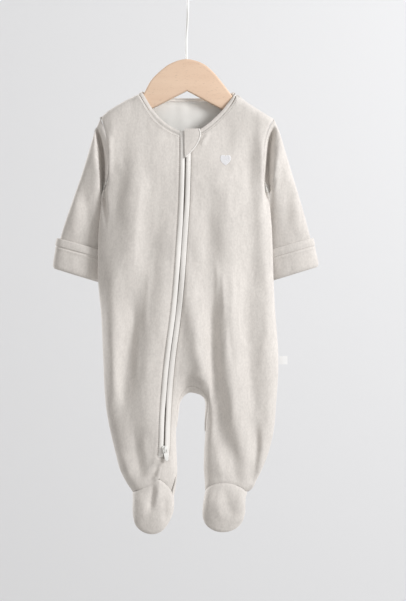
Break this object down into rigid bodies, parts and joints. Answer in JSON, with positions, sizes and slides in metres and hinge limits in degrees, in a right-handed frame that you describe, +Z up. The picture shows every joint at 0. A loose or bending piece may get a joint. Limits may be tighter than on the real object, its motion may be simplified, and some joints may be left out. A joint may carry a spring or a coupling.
{
  "type": "footed baby sleepsuit on a wooden hanger",
  "caption": "Velour sleepsuit with feet, turned back cuffs, a slanting two way zip from neck to ankle and a bound neck, hung flat on a wooden hanger with a wire hook.",
  "frame": {"origin": "the top of the inside of the hanger's hook, where it rests on a rail", "axes": "+Z up; the garment's front faces -Y; the wearer's left side is at +X; the rail runs along X"},
  "size_m": [0.3351, 0.0583, 0.6739],
  "materials": {
    "velour": "pale oatmeal cotton velour",
    "strip": "pale plain knit beside the zip",
    "tape": "woven zip tape",
    "plastic": "white moulded plastic",
    "label": "white woven tab",
    "wood": "pale waxed wood",
    "wire": "white coated wire"
  },
  "bodies": {
    "garment": {"front_right": "velour", "front_left": "velour", "back": "velour", "sleeve_right": "velour", "sleeve_left": "velour", "cuff_right": "velour", "cuff_left": "velour", "crotch_gusset": "velour", "foot_upper_right": "velour", "foot_sole_right": "velour", "foot_upper_left": "velour", "foot_sole_left": "velour", "neck_binding": "velour", "zip_facing_right": "strip", "zip_facing_left": "strip", "zip_tape": "tape", "zip_guard": "velour", "zip_slider": "plastic", "side_label": "label", "hanger_wood": "wood", "hanger_hook": "wire"},
    "pull_tab": {"zip_pull_tab": "plastic"}
  },
  "joints": [
    {"name": "pull_tab_hinge", "type": "hinge", "parent": "garment", "child": "pull_tab", "pos_m": [-0.0272, -0.02021, -0.56457], "axis": [-0.946, -0.2621, -0.1909], "range_deg": [0, 150]}
  ]
}
